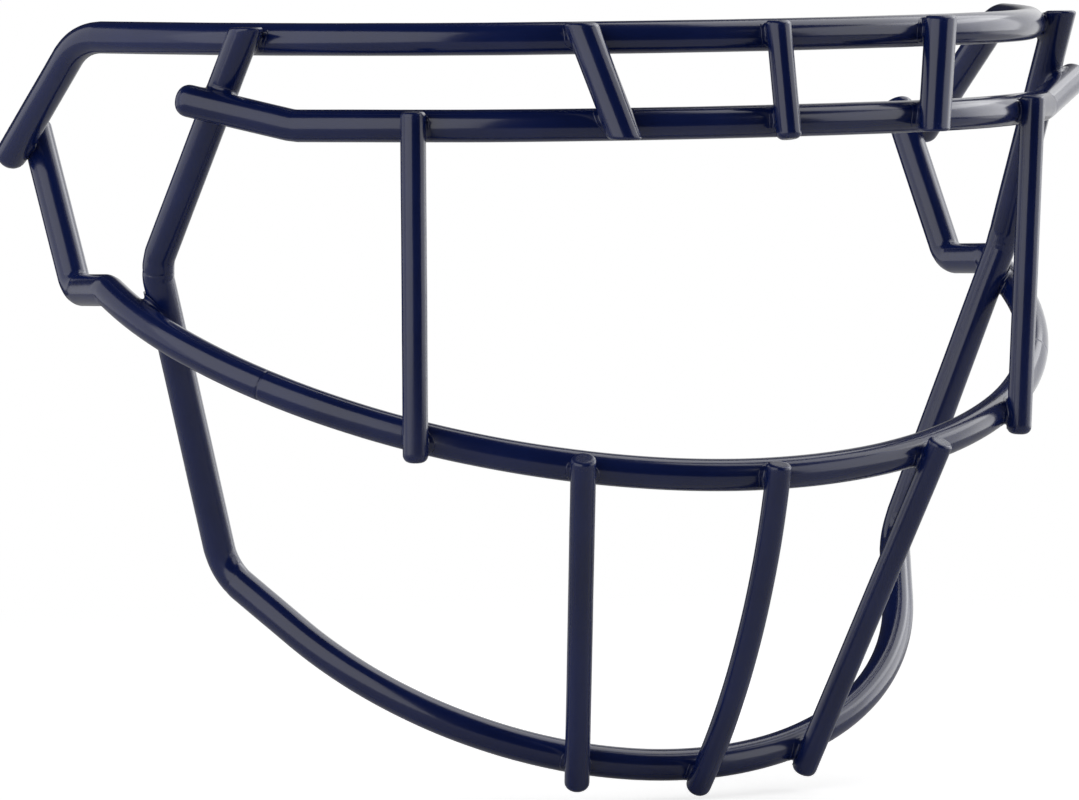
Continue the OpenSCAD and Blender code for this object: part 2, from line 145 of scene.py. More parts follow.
@dataclass(frozen=True)
class Run:
    """One straight or evenly bent stretch of a wire's axis. A radius of 0 makes it straight."""

    start: Array
    heading: Array
    inward: Array
    length: float
    radius: float = 0.0

    def at(self, s: float) -> "Run":
        """The rest of the run from a distance along it.

        A straight run goes on along its heading. A bend follows start + r sin(s/r) heading + r (1 - cos(s/r))
        inward, and its heading and inward direction turn together by s/r.

        Args:
            s: Distance along the run.

        Returns:
            The run that starts there.
        """
        if self.radius == 0:
            return Run(self.start + s * self.heading, self.heading, self.inward, self.length - s)
        a = s / self.radius
        point = self.start + self.radius * (math.sin(a) * self.heading + (1 - math.cos(a)) * self.inward)
        heading = math.cos(a) * self.heading + math.sin(a) * self.inward
        inward = math.cos(a) * self.inward - math.sin(a) * self.heading
        return Run(point, heading, inward, self.length - s, self.radius)

    def end(self) -> "Run":
        """The place and heading at the end of the run."""
        return self.at(self.length)

    def length_to_x(self, x: float) -> float:
        """Distance along a run in a bar's plane to the place with the given X.

        On a bend, hx sin a - wx cos a = (x - x0) / r - wx for the heading h and the inward direction w.

        Args:
            x: The place's X.

        Returns:
            The distance.
        """
        if self.radius == 0:
            return (x - self.start[0]) / self.heading[0]
        sine = (x - self.start[0]) / self.radius - self.inward[0]
        return (math.asin(sine) - math.atan2(-self.inward[0], self.heading[0])) * self.radius


def straight_run(a: Array, b: Array) -> Run:
    """The straight run from one point to another, whose inward direction is any square one.

    Args:
        a: Its start.
        b: Its end.

    Returns:
        The run.
    """
    h = unit(b - a)
    aside = RIGHT if abs(h[2]) > NEARLY_UPRIGHT else UP
    return Run(a, h, unit(np.cross(h, aside)), float(np.linalg.norm(b - a)))


def front_run(middle: Array, tilt: float, length: float, radius: float) -> Run:
    """The front stretch of a bar, which leaves its middle sideways and bends toward the back.

    Args:
        middle: Middle of the bar.
        tilt: Rise of the bar's plane toward the back, in degrees.
        length: Curved length of the stretch.
        radius: Its bend radius.

    Returns:
        The run.
    """
    t = math.radians(tilt)
    return Run(middle, RIGHT, vec(0, math.cos(t), math.sin(t)), length, radius)


def run_toward(last: Run, place: Array, ahead: float = 0.0) -> Run:
    """A run that bends once after the last one, so that its end heads for a place ahead of it.

    The two tangents of a bend have equal lengths t, and the second one reaches the place after t + ahead,
    which gives t = (d.d - ahead^2) / 2 / (d.h + ahead) for the way d to the place and the heading h.

    Args:
        last: The run before it.
        place: The place that it heads for.
        ahead: Distance left to the place at its end.

    Returns:
        The new run.
    """
    p, h = last.end().start, last.end().heading
    d = place - p
    t = (d @ d - ahead * ahead) / 2 / (d @ h + ahead)
    next_h = unit(d - t * h)
    turn = math.acos(h @ next_h)
    r = t / math.tan(turn / 2)
    return Run(p, h, unit(next_h - (h @ next_h) * h), r * turn, r)


def bar_arcs(middle: Array, tilt: float, front: tuple[float, float], cheek: Array, corner: Array,
             run_l: float) -> list[Run]:
    """The curved stretches of a bar's left half: its front, its cheek and the one that heads for its corner.

    Args:
        middle: Middle of the bar.
        tilt: Rise of the bar's plane toward the back, in degrees.
        front: Length and bend radius of the front.
        cheek: Where the second stretch ends.
        corner: The bar's corner.
        run_l: Distance left to the corner.

    Returns:
        The three runs.
    """
    arcs = [front_run(middle, tilt, *front)]
    arcs.append(run_toward(arcs[-1], cheek))
    return arcs + [run_toward(arcs[-1], corner, run_l)]


def cornered(before: list[Run], points: list[Array], radii: list[float]) -> list[Run]:
    """A bar's runs, carried on through corner points, with each corner rounded by its radius.

    Args:
        before: The runs before them.
        points: The corners and the last point.
        radii: A bend radius for each corner.

    Returns:
        All the runs in order.
    """
    runs, start = list(before), before[-1].end().start
    for corner, after, r in zip(points, points[1:], radii):
        h, next_h = unit(corner - start), unit(after - corner)
        turn = math.acos(h @ next_h)
        reach = r * math.tan(turn / 2)
        runs.append(straight_run(start, corner - reach * h))
        runs.append(Run(corner - reach * h, h, unit(next_h - (h @ next_h) * h), r * turn, r))
        start = corner + reach * next_h
    return runs + [straight_run(start, points[-1])]


def place_at_x(runs: list[Run], x: float) -> Run:
    """The place on a bar at the given X."""
    run = next((r for r in runs[:-1] if r.end().start[0] >= x), runs[-1])
    return run.at(run.length_to_x(x))


def seat_direction(tangent: Array, along: Array, out: Array) -> Array:
    """Direction square to a bar and to the wire across it, on the side that faces out."""
    n = unit(np.cross(tangent, along))
    return -n if n @ out < 0 else n


def touch_inside(bar: Run, origin: Array, lift: float) -> tuple[Array, Array]:
    """Where a straight wire from a point passes a bar on its inner side, and the wire's heading."""
    place = bar.start - lift * seat_direction(bar.heading, bar.start - origin, RIGHT)
    return place, unit(place - origin)


@dataclass(frozen=True)
class WireStock:
    """The two wire sizes and how deep the wires are pressed into each other at a weld."""

    bar_d: float = 7.0
    thin_d: float = 5.5
    weld_set: float = 0.6
    upright_set: float = 0.9
    visor_set: float = 1.8

    def lift(self, d: float, depth: float | None = None) -> float:
        """Distance between the axes of a bar and a wire pressed in by a depth, or as in most welds."""
        return (self.bar_d + d) / 2 - (self.weld_set if depth is None else depth)


@dataclass(frozen=True)
class Crossing:
    """A weld: where a wire passes a bar, with both headings, how far the wire goes on, and how it ends."""

    bar_place: Array
    bar_along: Array
    wire_place: Array
    wire_along: Array
    wire_d: float
    past: float = OUT_OF_REACH
    end: EndShape = EndShape.SQUARE


@dataclass(frozen=True)
class Lap:
    """A wire laid over two bars: the two places on its axis, and the bars' places under them."""

    bars: tuple[Run, Run]
    places: tuple[Array, Array]
    diameter: float
    headings: tuple[Array, Array]

    def crossing(self, i: int, past: float = OUT_OF_REACH, end: EndShape = EndShape.SQUARE) -> Crossing:
        """The weld at the first or the second bar, past which the wire goes on for a length."""
        bar, away = self.bars[i], self.headings[i] * (-1, 1)[i]
        return Crossing(bar.start, bar.heading, self.places[i], away, self.diameter, past, end)


def lap_over(bars: tuple[Run, Run], lifts: tuple[float, float], outs: tuple[Array, Array], d: float,
             bow: float = 0.0) -> Lap:
    """Lays a wire over two bars so that it touches both.

    Its axis passes each bar square to both, one lift away. The direction of the wire follows from the
    two places and the places from the direction, so a few passes settle them.

    Args:
        bars: Places on the two bars.
        lifts: Distance between the axes at each.
        outs: Side of each bar on which the wire lies.
        d: Diameter of the wire.
        bow: Angle in radians by which a bowed wire leaves its chord.

    Returns:
        The lap.
    """
    along = bars[1].start - bars[0].start
    for _ in range(LAP_PASSES):
        u = unit(along)
        f = unit(outs[0] - (outs[0] @ u) * u)
        headings = (math.cos(bow) * u + math.sin(bow) * f, math.cos(bow) * u - math.sin(bow) * f)
        places = tuple(b.start + lift * seat_direction(b.heading, h, out)
                       for b, lift, h, out in zip(bars, lifts, headings, outs))
        along = places[1] - places[0]
    return Lap(bars, places, d, headings)


@dataclass
class Centreline:
    """A wire's axis: its runs from one end to the other, or from the middle of a mirrored bar to its end."""

    runs: list[Run]
    both_ways: bool = False

    def __post_init__(self) -> None:
        """Works out where each run starts and how far its own directions are turned from the first run's."""
        self.lengths = np.array([r.length for r in self.runs])
        self.offsets = np.cumsum(self.lengths) - self.lengths
        self.phases = [0.0]
        for a, b in zip(self.runs, self.runs[1:]):
            end, across = a.end(), np.cross(a.heading, a.inward)
            first = math.cos(self.phases[-1]) * end.inward + math.sin(self.phases[-1]) * across
            self.phases.append(math.atan2(first @ np.cross(b.heading, b.inward), first @ b.inward))

    @property
    def reach(self) -> float:
        """Distance to the end of the last run."""
        return float(self.lengths.sum())

    def stations(self, step: float, tight_step: float) -> Array:
        """Distances at which the tube gets a ring, closer together where the bend is tight.

        Args:
            step: Distance between rings.
            tight_step: The same in a tight bend.

        Returns:
            Distances in order, negative ones on the mirrored half.
        """
        parts = []
        for run, offset in zip(self.runs, self.offsets):
            gap = tight_step if 0 < run.radius < CLOSE_RINGS_R else step
            rings = max(3, math.ceil(run.length / gap))
            parts.append(offset + np.linspace(0, run.length, rings, endpoint=False))
        s = np.append(np.concatenate(parts), self.reach)
        return np.concatenate([-s[:0:-1], s]) if self.both_ways else s

    def frames(self, s: Array) -> tuple[Array, Array, Array, Array, Array]:
        """Places along the axis, with two directions square to it that don't twist.

        Each run is start + r sin(a) heading + r (1 - cos a) inward for a = s/r, or straight. The square
        directions are the run's inward and across directions, turned by the run's phase.

        Args:
            s: Distances along the axis.

        Returns:
            Points, first and second square directions, angle of the bend's inner side, and how tight it is.
        """
        t = np.abs(s) if self.both_ways else s
        i = np.clip(np.searchsorted(self.offsets, t, side="right") - 1, 0, len(self.runs) - 1)
        ds, run_length = (t - self.offsets[i])[:, None], self.lengths[i][:, None]
        start, h, w, radius = (np.array([getattr(r, name) for r in self.runs])[i]
                               for name in ("start", "heading", "inward", "radius"))
        radius = radius[:, None]
        bent = radius > 0
        safe = np.where(bent, radius, 1.0)
        a = np.where(bent, ds / safe, 0.0)
        point = start + np.where(bent, radius * np.sin(a), ds) * h
        point += np.where(bent, radius * (1 - np.cos(a)), 0.0) * w
        inward = np.cos(a) * w - np.sin(a) * h
        tangent = np.cos(a) * h + np.sin(a) * w
        phase = np.array(self.phases)[i][:, None]
        first = np.cos(phase) * inward + np.sin(phase) * np.cross(h, w)
        second = np.cross(tangent, first)
        near_joint = np.clip(np.minimum(ds, run_length - ds) / FLAT_EASE, 0, 1)
        tight = np.where(bent, np.clip(FLAT_R / safe, 0, 1), 0.0) * near_joint
        flip = np.where((s < 0)[:, None], vec(-1, 1, 1), 1.0) if self.both_ways else 1.0
        return point * flip, first * flip, second * flip, -phase[:, 0], tight[:, 0]


@dataclass
class Surface:
    """A closed mesh in millimetres: its points, its faces, and how rubbed and how thick the coating is."""

    points: Array
    faces: list[list[int]]
    wear: Array
    pool: Array

    def mirror(self) -> "Surface":
        """The mirror image, with its faces still pointing outward."""
        return Surface(mirrored(self.points), [f[::-1] for f in self.faces], self.wear, self.pool)

    @staticmethod
    def joined(parts: list["Surface"]) -> "Surface":
        """Several surfaces as one mesh.

        Args:
            parts: The surfaces.

        Returns:
            One surface, in which each part's faces count on from the points before it.
        """
        starts = np.cumsum([0] + [len(p.points) for p in parts])
        faces = [[i + int(n) for i in f] for p, n in zip(parts, starts) for f in p.faces]
        points, wear, pool = (np.concatenate([getattr(p, name) for p in parts])
                              for name in ("points", "wear", "pool"))
        return Surface(points, faces, wear, pool)


def grid_faces(rows: int, columns: int, closed_rows: bool, closed_columns: bool = True) -> list[list[int]]:
    """Four-cornered faces of a grid of points.

    Args:
        rows: Number of rows.
        columns: Points in a row.
        closed_rows: Whether the last row is joined to the first.
        closed_columns: Whether each row closes on itself.

    Returns:
        The faces, which point outward when the rows turn to the right about the way they follow each other.
    """
    i, j = np.meshgrid(np.arange(rows if closed_rows else rows - 1),
                       np.arange(columns if closed_columns else columns - 1), indexing="ij")
    k, m = (i + 1) % rows, (j + 1) % columns
    quads = np.stack([i * columns + j, i * columns + m, k * columns + m, k * columns + j], -1)
    return quads.reshape(-1, 4).tolist()


@dataclass(frozen=True)
class FineLine:
    """A shallow ring around a wire, where the coating has sunk into a press mark. It is deepest in front."""

    place: float
    width: float
    depth: float


@dataclass
class CoatedTube:
    """A round wire under its coating, carried along its axis."""

    axis: Centreline
    diameter: float
    ends: Ends
    lines: tuple[FineLine, ...] = ()
    seed: float = 0.0
    around: int = 48
    step: float = 1.1
    tight_step: float = 0.45
    rim_rings: int = 9
    line_rings: int = 11
    face_rings: tuple[float, float] = (0.35, 0.8)
    least_face: float = 0.3
    least_gap: float = 0.1
    ripple: float = 0.035
    bend_flat: float = 0.06
    lean_reach: float = 7.0
    wear_reach: float = 1.6

    def stations(self) -> tuple[Array, Array]:
        """Ring places along the axis and ring radii, with the rims of both ends rounded.

        A rim of rounding q is a quarter circle: radius r - q + q sin a at q (1 - cos a) from the end.

        Returns:
            Distances along the axis and radii.
        """
        r = self.diameter / 2
        s = self.axis.stations(self.step, self.tight_step)
        near = np.linspace(-3, 3, self.line_rings)
        extra = [sign * (line.place + line.width * near) for line in self.lines
                 for sign in ((1, -1) if self.axis.both_ways else (1,))]
        s = np.unique(np.round(np.concatenate([s] + extra), 4))
        a = np.linspace(0, math.pi / 2, self.rim_rings)
        rims = [min(end.rounding, r - self.least_face) for end in self.ends]
        (first, first_r), (last, last_r) = (
            (np.concatenate([[0, 0], q * (1 - np.cos(a))]),
             np.concatenate([np.array(self.face_rings) * (r - q), r - q + q * np.sin(a)])) for q in rims)
        body = s[(s > s[0] + rims[0] + self.least_gap) & (s < s[-1] - rims[1] - self.least_gap)]
        places = np.concatenate([s[0] + first, body, (s[-1] - last)[::-1]])
        return places, np.concatenate([first_r, np.full(len(body), r), last_r[::-1]])

    def leaned(self, offset: Array, tangent: Array, s: Array) -> Array:
        """Leans the rings near a level end over, so that its face lies level.

        A ring point with the offset o from the axis moves by -(o . up) / (tangent . up) along the tangent.
        The share of that falls to 0 over a few millimetres of wire.

        Args:
            offset: Ring points from the axis.
            tangent: The axis' direction at each ring.
            s: Distances along the axis.

        Returns:
            The moved offsets.
        """
        for end, gap in zip(self.ends, (s - s[0], s[-1] - s)):
            if end.level:
                share = np.clip(1 - gap / self.lean_reach, 0, 1)
                share = share * share * (3 - 2 * share)
                steep = np.where(np.abs(tangent[:, 2]) > 0.5, tangent[:, 2], 1.0)
                offset = offset - (share / steep)[:, None, None] * offset[..., 2:3] * tangent[:, None]
        return offset

    def surface(self) -> Surface:
        """The tube's skin.

        Each ring is point + R (cos b first + sin b second). R is the ring's radius less a slow ripple of the
        coating (sines along and around the wire, which fade out on the end faces), less a flat on the outer
        side of tight bends, less the fine lines, which are bell curves along the axis.

        Returns:
            The closed surface.
        """
        s, radii = self.stations()
        point, first, second, inner, tight = self.axis.frames(s)
        b = np.linspace(0, 2 * math.pi, self.around, endpoint=False)[None, :]
        wave = sum(height * np.sin(s[:, None] / length + turns * b + share * self.seed)
                   for height, length, turns, share in COATING_WAVES)
        highest = sum(height for height, *_ in COATING_WAVES)
        off_face = np.clip((radii / radii.max() - 0.8) / 0.2, 0, 1)[:, None]
        radius = radii[:, None] - self.ripple * off_face * (0.5 + wave / 2 / highest)
        radius -= self.bend_flat * tight[:, None] * (1 - np.cos(b - inner[:, None]))
        sunk = np.zeros_like(s)
        for line in self.lines:
            gap = (np.abs(s) if self.axis.both_ways else s) - line.place
            bell = np.exp(-((gap / line.width) ** 2))
            sunk += bell
            radius -= line.depth * bell[:, None] * (1 - np.cos(b)) / 2
        outward = np.cos(b)[..., None] * first[:, None] + np.sin(b)[..., None] * second[:, None]
        skin = point[:, None] + self.leaned(radius[..., None] * outward, np.cross(first, second), s)
        rows, n = skin.shape[0], self.around
        faces = grid_faces(rows, n, False)
        ring = np.arange(n)
        last = (rows - 1) * n
        faces += np.stack([np.full(n, rows * n), (ring + 1) % n, ring], 1).tolist()
        faces += np.stack([np.full(n, rows * n + 1), last + ring, last + (ring + 1) % n], 1).tolist()
        from_end = np.minimum(s - s[0], s[-1] - s)
        wear = np.repeat(np.exp(-((from_end / self.wear_reach) ** 2)) * (radii > radii.max() / 2), n)
        pool = np.repeat(np.clip(sunk, 0, 1), n)
        points = np.concatenate([skin.reshape(-1, 3), point[[0, -1]]])
        return Surface(points, faces, np.append(wear, [0, 0]), np.append(pool, [0, 0]))


def lapped_tube(lap: Lap, past: tuple[float, float], ends: Ends, seed: float) -> CoatedTube:
    """The straight wire of a lap, with its ends past both bars.

    Args:
        lap: The lap.
        past: Lengths past its two places.
        ends: Shape of its top and of its foot.
        seed: Turns the ripple of the coating, so that no two wires are alike.

    Returns:
        The tube.
    """
    h = unit(lap.places[1] - lap.places[0])
    run = straight_run(lap.places[0] - past[0] * h, lap.places[1] + past[1] * h)
    return CoatedTube(Centreline([run]), lap.diameter, ends, seed=seed, around=THIN_AROUND)


@dataclass
class WeldFillet:
    """The coated metal squeezed out between two crossing wires."""

    crossing: Crossing
    bar_d: float
    size: float
    seed: float
    around: int = 72
    across: int = 13
    sunk: float = 0.22
    skirt: float = 0.08
    skirt_swell: float = 1.2
    held_back: float = 0.45
    softness: float = 0.2
    thin_coat: float = 0.4

    def surface(self) -> Surface:
        """The fillet's skin, a closed ring around the contact.

        A point of the fillet lies on both wires swollen by dA = k (1 - w)^2 / 4 and dB = k (1 + w)^2 / 4,
        which meets each wire smoothly at w = -1 and w = 1. From the bar's axis, the common normal n reaches
        the wire's axis at the height h. In the plane square to n, at an angle t, the squared distance s from
        n solves g^2 s^2 + (p + 2 g z0) s + z0^2 - RA^2 = 0, where p and q are the squared sines from t to
        each wire, z0 = (RA^2 - RB^2 + h^2) / 2h and g = (q - p) / 2h, and the point's height is z0 + g s.
        A skirt row dives under each wire's skin, and inner rows lie inside both wires and close the ring.
        Where the wire ends close by, the fillet is held back from its end face by a soft minimum.

        Returns:
            The closed surface.
        """
        c = self.crossing
        way = c.wire_place - c.bar_place
        height = float(np.linalg.norm(way))
        n = way / height
        x = unit(c.bar_along - (c.bar_along @ n) * n)
        y = np.cross(n, x)
        wire = c.wire_along - (c.wire_along @ n) * n
        beta = math.atan2(wire @ y, wire @ x)
        t = np.linspace(0, 2 * math.pi, self.around, endpoint=False)[None, :]
        lump = sum((rise * np.sin(count * t + share * self.seed) for count, rise, share in FILLET_LUMPS),
                   start=1.0)
        w = np.linspace(-1, 1, self.across)
        inner_swell = np.array([0.0, 0.0, 0.0, 1.0, self.skirt_swell])
        inner_depth = np.array([self.skirt, self.sunk, self.sunk, 0.0, 0.0])
        ra, rb = (
            d / 2 + np.concatenate([(1 - way_w) ** 2 / 4, inner_swell[::order]])[:, None] * self.size * lump
            - np.concatenate([np.zeros(self.across), inner_depth[::order]])[:, None]
            for d, way_w, order in ((self.bar_d, w, 1), (c.wire_d, -w, -1)))
        p, q = np.sin(t) ** 2, np.sin(t - beta) ** 2
        z0 = (ra ** 2 - rb ** 2 + height ** 2) / 2 / height
        g = (q - p) / 2 / height
        middle, rest = p + 2 * g * z0, z0 ** 2 - ra ** 2
        s = -2 * rest / (middle + np.sqrt(middle ** 2 - 4 * g ** 2 * rest))
        rho, z = np.sqrt(s), z0 + g * s
        aside = (rho * np.cos(t))[..., None] * x + (rho * np.sin(t))[..., None] * y
        skin = c.bar_place + aside + z[..., None] * n
        face = UP / c.wire_along[2] if c.end.level else c.wire_along
        room = (c.wire_place + (c.past - self.held_back) * c.wire_along - skin) @ face
        skin -= (self.softness * np.logaddexp(0, -room / self.softness))[..., None] * c.wire_along
        faces = grid_faces(skin.shape[0], self.around, True)
        outside = np.concatenate([1 - np.abs(w), np.zeros(len(inner_swell))])
        pool = np.repeat(self.thin_coat + (1 - self.thin_coat) * outside, self.around)
        return Surface(skin.reshape(-1, 3), [f[::-1] for f in faces], np.zeros(len(pool)), pool)


class NodeBoard:
    """A material's or world's node tree, built one node at a time."""

    def __init__(self, owner: bpy.types.Material | bpy.types.World) -> None:
        """Gives a material or world an empty tree.

        Args:
            owner: The material or world.
        """
        owner.use_nodes = True
        self.tree = owner.node_tree
        self.tree.nodes.clear()

    def add(self, kind: str, settings: dict | None = None, inputs: dict | None = None) -> bpy.types.Node:
        """Adds a node.

        Args:
            kind: The node's type name after ShaderNode.
            settings: Properties of the node.
            inputs: Socket values, or sockets to link from.

        Returns:
            The node.
        """
        node = self.tree.nodes.new("ShaderNode" + kind)
        for name, value in (settings or {}).items():
            setattr(node, name, value)
        for name, value in (inputs or {}).items():
            if isinstance(value, Socket):
                self.tree.links.new(value, node.inputs[name])
            else:
                node.inputs[name].default_value = value
        return node

    def math(self, operation: str, a: Socket | float, b: Socket | float, c: float = 0.5) -> Socket:
        """The result of one arithmetic step on sockets or numbers."""
        return self.add("Math", {"operation": operation}, {0: a, 1: b, 2: c}).outputs[0]

    def noise(self, place: Socket, scale: float, detail: float, roughness: float = 0.5) -> Socket:
        """The grey of a noise pattern."""
        return self.add("TexNoise", inputs={"Vector": place, "Scale": scale, "Detail": detail,
                                            "Roughness": roughness}).outputs["Fac"]

    def mix(self, share: Socket, a: Socket, b: Colour) -> Socket:
        """A colour on its way to another one."""
        return self.add("Mix", {"data_type": "RGBA"}, {"Factor": share, "A": a, "B": b}).outputs["Result"]

    def bump(self, height: Socket, depth: float, **below: Socket) -> Socket:
        """The normal of a relief of the given depth in metres, on top of another normal if one is given."""
        return self.add("Bump", inputs={"Height": height, "Distance": depth, **below}).outputs["Normal"]

    def span(self, value: Socket, start: float, stop: float, low: float = 0.0, high: float = 1.0,
             smooth: bool = False) -> Socket:
        """A value stretched from one range to another, and held at its ends."""
        return self.add("MapRange", {"interpolation_type": "SMOOTHSTEP" if smooth else "LINEAR"}, {
            "Value": value, "From Min": start, "From Max": stop, "To Min": low, "To Max": high}).outputs[0]


@dataclass(frozen=True)
class CoatedWireFinish:
    """Glossy navy polymer coating, baked onto the steel wire."""

    name: str = "navy_gloss_coating"
    deep: Colour = (0.0020, 0.0090, 0.072, 1.0)
    light: Colour = (0.0042, 0.0140, 0.100, 1.0)
    rubbed: Colour = (0.014, 0.028, 0.135, 1.0)
    pigment_range: tuple[float, float] = (0.35, 0.68)
    pool_share: float = 0.55
    rubbed_share: float = 0.75
    scuff_range: tuple[float, float] = (0.52, 0.72)
    scuff_share: float = 0.6
    even_rub: float = 0.25
    roughness: float = 0.22
    roughness_spread: float = 0.08
    rubbed_roughness: float = 0.22
    coat: float = 0.6
    coat_roughness: float = 0.11
    cloud_scale: float = 45.0
    scuff_scale: float = 1500.0
    peel_scale: float = 620.0
    peel_depth: float = 0.000012
    wave_scale: float = 95.0
    wave_depth: float = 0.00006

    def make(self) -> bpy.types.Material:
        """Builds the material.

        Slow noise varies the pigment and the gloss, a fine one gives the orange peel, and the pieces' own
        attributes rub the rims a little paler and duller and deepen the colour where the coating has run
        together.

        Returns:
            The material.
        """
        material = bpy.data.materials.new(self.name)
        board = NodeBoard(material)
        place = board.add("TexCoord").outputs["Object"]
        wear, pool = (board.add("Attribute", {"attribute_name": n}).outputs["Fac"] for n in ("wear", "pool"))
        cloud = board.noise(place, self.cloud_scale, 3.0, 0.55)
        pigment = board.add("ValToRGB", inputs={"Fac": cloud})
        stops = pigment.color_ramp.elements
        for stop, position, colour in zip(stops, self.pigment_range, (self.deep, self.light)):
            stop.position, stop.color = position, colour
        scuff = board.span(board.noise(place, self.scuff_scale, 2.0, 0.6), *self.scuff_range)
        scuff = board.math("MULTIPLY_ADD", scuff, self.scuff_share, self.even_rub)
        rubbing = board.math("MULTIPLY", scuff, wear)
        colour = board.mix(board.math("MULTIPLY", pool, self.pool_share), pigment.outputs["Color"], self.deep)
        colour = board.mix(board.math("MULTIPLY", rubbing, self.rubbed_share), colour, self.rubbed)
        least = self.roughness - self.roughness_spread / 2
        gloss = board.math("MULTIPLY_ADD", cloud, self.roughness_spread, least)
        rough = board.math("ADD", gloss, board.math("MULTIPLY", rubbing, self.rubbed_roughness))
        slow = board.bump(board.noise(place, self.wave_scale, 1.0), self.wave_depth)
        fine = board.bump(board.noise(place, self.peel_scale, 2.0), self.peel_depth, Normal=slow)
        shader = board.add("BsdfPrincipled", inputs={
            "Base Color": colour, "Roughness": rough, "Normal": fine, "IOR": 1.5, "Coat Weight": self.coat,
            "Coat Roughness": self.coat_roughness, "Coat IOR": 1.5})
        board.add("OutputMaterial", inputs={"Surface": shader.outputs["BSDF"]})
        return material


@dataclass(frozen=True)
class FloorFinish:
    """Plain pale studio floor, which runs out into the white background."""

    name: str = "pale_studio_floor"
    grey: float = 0.62
    grain: float = 0.01
    grain_scale: float = 400.0
    lit_level: float = 0.262
    near: float = 0.16
    far: float = 0.46

    def make(self) -> bpy.types.Material:
        """Builds the material, white to the camera, with the shadow kept near the object.

        To the camera, a share k of the lit floor is shown and 1 - k times the lit level is added, where k
        falls from 1 to 0 away from the object.

        Returns:
            The material.
        """
        material = bpy.data.materials.new(self.name)
        board = NodeBoard(material)
        place = board.add("TexCoord").outputs["Object"]
        tone = board.span(board.noise(place, self.grain_scale, 3.0), 0.0, 1.0, self.grey - self.grain,
                          self.grey + self.grain)
        colour = board.add("CombineColor", inputs={n: tone for n in ("Red", "Green", "Blue")})
        matte = board.add("BsdfPrincipled", inputs={"Base Color": colour.outputs[0], "Roughness": 0.6,
                                                    "Specular IOR Level": 0.1})
        distance = board.add("VectorMath", {"operation": "LENGTH"}, {0: place}).outputs["Value"]
        share = board.span(distance, self.near, self.far, 1.0, 0.0, smooth=True)
        added = board.math("SUBTRACT", 1.0, board.math("MULTIPLY", share, self.lit_level))
        paper = board.add("Emission", inputs={"Color": (1, 1, 1, 1), "Strength": added})
        kept = board.add("MixShader", inputs={0: share, 2: matte.outputs["BSDF"]})
        white = board.add("AddShader", inputs={0: kept.outputs[0], 1: paper.outputs["Emission"]})
        rays = board.add("LightPath").outputs
        seen = board.math("MAXIMUM", rays["Is Camera Ray"], rays["Is Transmission Ray"])
        mix = board.add("MixShader", inputs={0: seen, 1: matte.outputs["BSDF"], 2: white.outputs[0]})
        board.add("OutputMaterial", inputs={"Surface": mix.outputs[0]})
        return material


def make_piece(name: str, surface: Surface, shift: Array, finish: bpy.types.Material,
               nodes: tuple[str, ...]) -> bpy.types.Object:
    """Puts a surface into the scene as a piece that stands for CAD nodes.

    Args:
        name: Name of the piece.
        surface: Its skin in millimetres from the middle of the brow bar.
        shift: Way from there to the row frame, in millimetres.
        finish: Its material.
        nodes: The CAD nodes that it stands for.

    Returns:
        The object, at the origin and riding on the one body.
    """
    mesh = bpy.data.meshes.new(name)
    mesh.from_pydata(((surface.points + shift) * METRE).tolist(), [], surface.faces)
    mesh.polygons.foreach_set("use_smooth", np.ones(len(mesh.polygons), bool))
    for label, values in (("wear", surface.wear), ("pool", surface.pool)):
        mesh.attributes.new(label, "FLOAT", "POINT").data.foreach_set("value", values.astype(np.float32))
    mesh.materials.append(finish)
    mesh.update()
    piece = bpy.data.objects.new(name, mesh)
    bpy.context.scene.collection.objects.link(piece)
    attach(piece, "root")
    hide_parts(*nodes)
    log.info("%s: %d points, %d faces, for %s", name, len(mesh.vertices), len(mesh.polygons),
             ", ".join(nodes))
    return piece


@dataclass
class Shop:
    """What every sub-assembly is made from: the wire stock, the coating, and the way to the row frame."""

    stock: WireStock
    finish: bpy.types.Material
    shift: Array

    def wire(self, name: str, tube: CoatedTube, side: Side = Side.LEFT) -> bpy.types.Object:
        """Adds a tube as the piece for the node of the same name.

        Args:
            name: The CAD node's name.
            tube: The tube, laid on the wearer's left.
            side: The side that it is wanted on.

        Returns:
            The piece.
        """
        skin = tube.surface() if side is Side.LEFT else tube.surface().mirror()
        return make_piece("coated_" + name, skin, self.shift, self.finish, (name,))

    def pair(self, name: str, lap: Lap, past: tuple[float, float], ends: Ends, seed: float) -> None:
        """Adds a straight wire on both sides.

        Args:
            name: The CAD nodes' name up to the side.
            lap: The wire's lap, on the wearer's left.
            past: Lengths past its two places.
            ends: Shapes of its ends.
            seed: Turns the coating's ripple, otherwise on each side.
        """
        for side in Side:
            self.wire(name + "_" + side.word, lapped_tube(lap, past, ends, seed + side.value), side)

    def welds(self, name: str, paired: list[WeldFillet], single: list[WeldFillet]) -> bpy.types.Object:
        """Adds a group of welds as the piece for the node of the same name.

        Args:
            name: The CAD node's name.
            paired: Fillets that also stand mirrored on the other side.
            single: Fillets in the middle.

        Returns:
            The piece.
        """
        skins = [f.surface() for f in paired]
        skins = skins + [s.mirror() for s in skins] + [f.surface() for f in single]
        return make_piece("coated_" + name, Surface.joined(skins), self.shift, self.finish, (name,))


